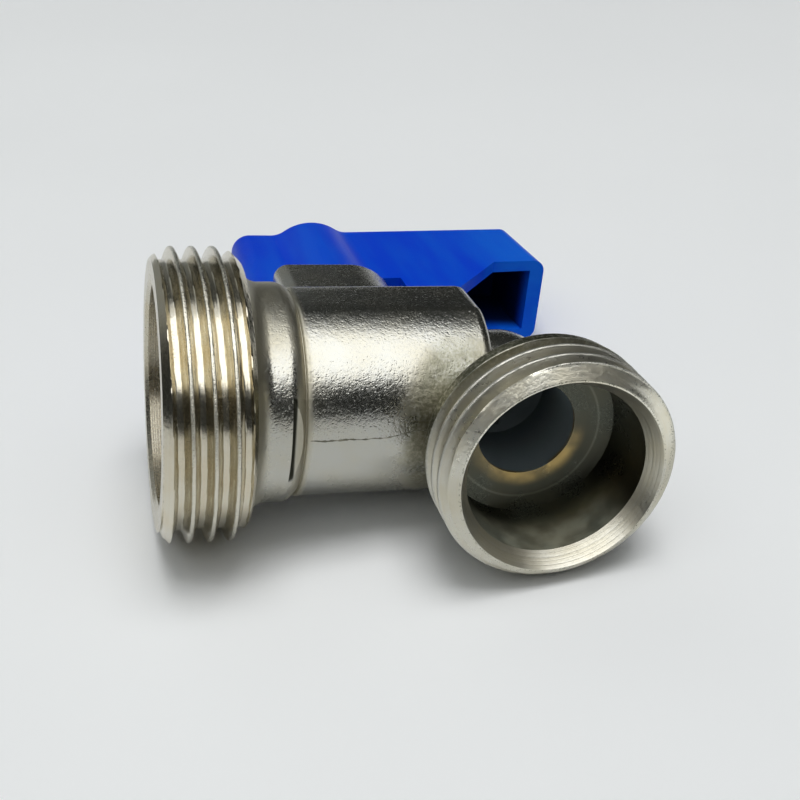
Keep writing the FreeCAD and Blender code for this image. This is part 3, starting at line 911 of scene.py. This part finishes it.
class VALVE_OT_body(bpy.types.Operator):
    """Copies the plain body, cuts both threads in it and gives each face its finish"""

    bl_idname = "valve.body"
    bl_label = "Dress the body"

    def execute(self, context):
        threads = context.scene.valve_threads
        colours = context.scene.valve_colours
        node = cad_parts["valve_body"]
        mesh = bmesh.new()
        mesh.from_mesh(node.data)
        mesh.transform(node.matrix_world)
        bmesh.ops.remove_doubles(mesh, verts=mesh.verts, dist=WELD)
        cut_thread(
            mesh, OUTLET, threads, OUTLET_ENVELOPE, OUTLET_THREAD_FROM, OUTLET_ROWS, OUTLET_COLUMNS,
            threads.outlet_start / MM, SEED,
        )
        cut_thread(
            mesh, INLET, threads, INLET_ENVELOPE, INLET_THREAD_FROM, INLET_ROWS, INLET_COLUMNS,
            threads.inlet_start / MM, SEED + 1,
        )
        bmesh.ops.recalc_face_normals(mesh, faces=mesh.faces)
        for face in mesh.faces:
            face.material_index = finish_of(face)
        add_parting_line(mesh, threads.parting, SEED + 2)
        bmesh.ops.recalc_face_normals(mesh, faces=mesh.faces)
        shade_by_angle(mesh, HARD_EDGE)
        finishes = (
            blasted_plate("blasted_nickel", colours.nickel, colours.warm_nickel, grain=0.045 * MM),
            turned_plate(
                "turned_outlet", colours.turned, colours.warm_turned, False, OUTLET_ENVELOPE,
                inside=(0.9, 0.08), rim_highlight_gain=0.0, roughness=0.13, grain=0.6, shade_and_grime_to=-1.0,
            ),
            turned_plate(
                "satin_inlet", colours.satin, colours.warm_satin, True, INLET_ENVELOPE,
                inside=(1.0, 0.05), rim_highlight_gain=0.75, roughness=0.27, grain=3.0, shade_and_grime_to=12.6,
            ),
            # The socket's plating is darkened as painted shade.
            socket_metal(
                "dull_shaded_socket", colours.dull_nickel_and_socket_shade, colours.dull_brass_and_socket_shade, colours.bare_brass,
            ),
            bored_metal("bored_brass", colours.bare_brass, colours.tarnish_and_bore_shade),
            # The parting line's ridge is darkened as painted shade.
            plain_metal("shaded_flash", *FLASH_SHADE_COLOURS, roughness=0.42, line=(4.0, 4.0, 4.0)),
        )
        piece = link_mesh("threaded_body", mesh, finishes)
        flat_faces = piece.modifiers.new("flat_faces", "WEIGHTED_NORMAL")
        flat_faces.keep_sharp = True
        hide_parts("valve_body")
        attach(piece, "fixed_body")
        return {"FINISHED"}


class VALVE_OT_lever(bpy.types.Operator):
    """Gives the lever its moulded blue plastic and its screw a bright zinc plate"""

    bl_idname = "valve.lever"
    bl_label = "Dress the lever"

    def execute(self, context):
        colours = context.scene.valve_colours
        blue = moulded_plastic(
            "moulded_blue", colours.lever_blue, colours.scuffed_blue, HOLLOW_SHADE_BLUE,
        )
        zinc = plain_metal("zinc_plate", *ZINC_COLOURS, roughness=0.24, line=(3.0, 0.5, 3.0))
        paint_node("handle", blue)
        paint_node("handle_screw", zinc)
        return {"FINISHED"}


class VALVE_OT_insides(bpy.types.Operator):
    """Gives the ball, seats, retainer, stem, washer and rings their finishes"""

    bl_idname = "valve.insides"
    bl_label = "Dress the inner pieces"

    def execute(self, context):
        brass = context.scene.valve_colours.bare_brass
        chrome = plain_metal("ball_plate", *CHROME_COLOURS, roughness=0.05, line=(1.0, 6.0, 1.0))
        turned = plain_metal(
            "turned_brass", brass, WORN_BRASS, roughness=0.22, line=(5.0, 0.4, 0.4),
        )
        ptfe = soft_solid("waxy_ptfe", *PTFE_COLOURS, roughness=0.42, grain=0.01)
        rubber = soft_solid("ring_rubber", *RUBBER_COLOURS, roughness=0.48, grain=0.012)
        paint_node("ball", chrome)
        for name in ("seat_retainer", "stem"):
            paint_node(name, turned)
        for name in ("inlet_seat", "outlet_seat", "thrust_washer"):
            paint_node(name, ptfe)
        for name in ("lower_stem_ring", "upper_stem_ring"):
            paint_node(name, rubber)
        return {"FINISHED"}


def floor_place(up):
    """The floor's point below the valve's middle, with the floor at the valve's lowest point."""
    lowest = math.inf
    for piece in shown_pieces():
        for vertex in piece.data.vertices:
            lowest = min(lowest, (piece.matrix_world @ vertex.co).dot(up))
    low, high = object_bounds()
    middle = (Vector(low) + Vector(high)) / 2.0
    return middle + up * (lowest - middle.dot(up))


def floor_material(name, colour):
    """Smooth pale card, seen from above only."""
    material, shader, place = new_material(name)
    clouds = place.noise(0.02, 2.0)
    shade = clouds.ramp(0.3, 0.7).mix(rgba(colour), rgba([value * 0.985 for value in colour]))
    feed(shader, Base_Color=shade, Roughness=0.55, Specular_IOR_Level=0.25)
    tree = material.node_tree
    out = tree.nodes["Material Output"]
    below = place.add("ShaderNodeNewGeometry", out="Backfacing")
    clear = place.add("ShaderNodeBsdfTransparent")
    solid = Wire(tree, shader.outputs[0])
    both = place.add("ShaderNodeMixShader", None, {0: below, 1: solid, 2: clear})
    tree.links.new(both.socket, out.inputs["Surface"])
    return material


def card_material(name, dark, pale, reach):
    """Dull card: dark, but pale to the left of the valve beyond that reach in millimetres."""
    material, shader, place = new_material(name)
    left = (-place.axes()[0]).ramp(reach, reach * 1.5)
    feed(shader, Base_Color=left.mix(rgba(dark), rgba(pale)), Roughness=0.9, Specular_IOR_Level=0.0)
    return material


def pale_world(light):
    """Pale surroundings: in full where seen or mirrored, but weaker and cooler as light."""
    world = bpy.data.worlds.new("surroundings")
    world.use_nodes = True
    tree = world.node_tree
    back = tree.nodes["Background"]
    start = Wire(tree, back.outputs[0])
    seen = start.add("ShaderNodeLightPath", out="Is Camera Ray")
    mirrored = Wire(tree, seen.socket.node.outputs["Is Glossy Ray"])
    through = Wire(tree, seen.socket.node.outputs["Is Transmission Ray"])
    shown = seen.math("MAXIMUM", seen.math("MAXIMUM", seen, mirrored), through)
    strength = shown * SHOWN_STRENGTH + (1.0 - shown) * light
    colour = shown.mix(SKY_COOL, SKY_SHOWN)
    tree.links.new(colour.socket, back.inputs["Color"])
    tree.links.new(strength.socket, back.inputs["Strength"])
    return world


def dark_wall(studio, lie):
    """A round wall of dark cards on the floor, higher on the side away from the camera."""
    wall = bmesh.new()
    away = lie.to_3x3().inverted() @ -Vector(CAMERA_BACK)
    far_turn = math.atan2(away.y, away.x)
    rings = []
    for step in range(ROUND_SEGMENTS):
        turn = 2.0 * math.pi * step / ROUND_SEGMENTS
        share = 0.5 + 0.5 * math.cos(turn - far_turn)
        rise = studio.near_angle * (1.0 - share) + studio.far_angle * share
        height = studio.wall_radius * math.tan(rise)
        x = studio.wall_radius * math.cos(turn)
        y = studio.wall_radius * math.sin(turn)
        rings.append((wall.verts.new((x, y, CARD_FOOT)), wall.verts.new((x, y, height))))
    for step in range(ROUND_SEGMENTS):
        low, high = rings[step]
        next_low, next_high = rings[(step + 1) % ROUND_SEGMENTS]
        wall.faces.new((low, next_low, next_high, high))
    return wall


def area_lamp(name, power, size, way, spot, distance):
    """A rectangular soft lamp that shines on the spot from that way and distance."""
    lamp = bpy.data.lights.new(name, "AREA")
    lamp.shape = "RECTANGLE"
    lamp.size, lamp.size_y = size
    lamp.energy = power
    box = bpy.data.objects.new(name, lamp)
    bpy.context.scene.collection.objects.link(box)
    away = way.normalized()
    aim = away.to_track_quat("Z", "Y").to_matrix().to_4x4()
    aim.translation = spot + away * distance
    box.matrix_world = aim
    return box


class VALVE_OT_stage(bpy.types.Operator):
    """Adds the pale floor, the dark cards that the metal reflects, the soft light and the camera"""

    bl_idname = "valve.stage"
    bl_label = "Set the stage"

    def execute(self, context):
        scene = context.scene
        studio = scene.valve_studio
        up = Vector(FLOOR_UP).normalized()
        spot = floor_place(up)
        lie = up.to_track_quat("Z", "Y").to_matrix().to_4x4()
        lie.translation = spot

        ground = bmesh.new()
        bmesh.ops.create_circle(
            ground, cap_ends=True, segments=ROUND_SEGMENTS, radius=studio.wall_radius,
        )
        floor = link_mesh("floor", ground, (floor_material("pale_floor", studio.floor_colour),))
        floor.matrix_world = lie

        wall = dark_wall(studio, lie)
        card = card_material("dark_card", CARD_DARK, CARD_PALE, CARD_REACH)
        cards = link_mesh("dark_cards", wall, (card,))
        cards.matrix_world = lie
        cards.visible_camera = False
        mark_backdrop(floor, cards)

        overhead = up + Vector(SOFTBOX_LEAN)
        area_lamp("softbox", studio.softbox, SOFTBOX_SIZE, overhead, spot, SOFTBOX_DISTANCE)
        sheen = area_lamp("sheen", studio.sheen, SOFTBOX_SIZE, overhead, spot, SHEEN_DISTANCE)
        sheen.visible_diffuse = False
        key = area_lamp("key", studio.key, KEY_SIZE, up + Vector(KEY_LEAN), spot, KEY_DISTANCE)
        key.visible_glossy = False

        scene.world = pale_world(studio.sky)

        lens = bpy.data.cameras.new("camera")
        lens.sensor_width = CAMERA_SENSOR
        lens.lens = CAMERA_LENS
        lens.clip_start, lens.clip_end = CAMERA_CLIP
        camera = bpy.data.objects.new("camera", lens)
        scene.collection.objects.link(camera)
        columns = zip(CAMERA_RIGHT, CAMERA_UP, CAMERA_BACK, [value * MM for value in CAMERA_PLACE])
        camera.matrix_world = Matrix([*columns, (0.0, 0.0, 0.0, 1.0)])
        scene.camera = camera
        scene.view_settings.view_transform = "Standard"
        return {"FINISHED"}


class VALVE_PT_sidebar(bpy.types.Panel):
    """Sizes, colours and buttons for the valve"""

    bl_label = "Washing machine valve"
    bl_idname = "VALVE_PT_sidebar"
    bl_space_type = "VIEW_3D"
    bl_region_type = "UI"
    bl_category = "Valve"

    def draw(self, context):
        scene = context.scene
        for group in (scene.valve_threads, scene.valve_colours, scene.valve_studio):
            column = self.layout.column(align=True)
            for name in group.__annotations__:
                column.prop(group, name)
        for operator in OPERATORS:
            self.layout.operator(operator.bl_idname)


OPERATORS = (VALVE_OT_body, VALVE_OT_lever, VALVE_OT_insides, VALVE_OT_stage)
CLASSES = (ValveThreads, ValveColours, ValveStudio, *OPERATORS, VALVE_PT_sidebar)


def register():
    """Adds the classes and the scene's settings."""
    for item in CLASSES:
        bpy.utils.register_class(item)
    bpy.types.Scene.valve_threads = bpy.props.PointerProperty(type=ValveThreads)
    bpy.types.Scene.valve_colours = bpy.props.PointerProperty(type=ValveColours)
    bpy.types.Scene.valve_studio = bpy.props.PointerProperty(type=ValveStudio)


def unregister():
    """Takes them away again."""
    del bpy.types.Scene.valve_studio
    del bpy.types.Scene.valve_colours
    del bpy.types.Scene.valve_threads
    for item in reversed(CLASSES):
        bpy.utils.unregister_class(item)


def main():
    """Registers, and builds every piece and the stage."""
    register()
    bpy.ops.valve.body()
    bpy.ops.valve.lever()
    bpy.ops.valve.insides()
    bpy.ops.valve.stage()


if __name__ == "__main__":
    main()
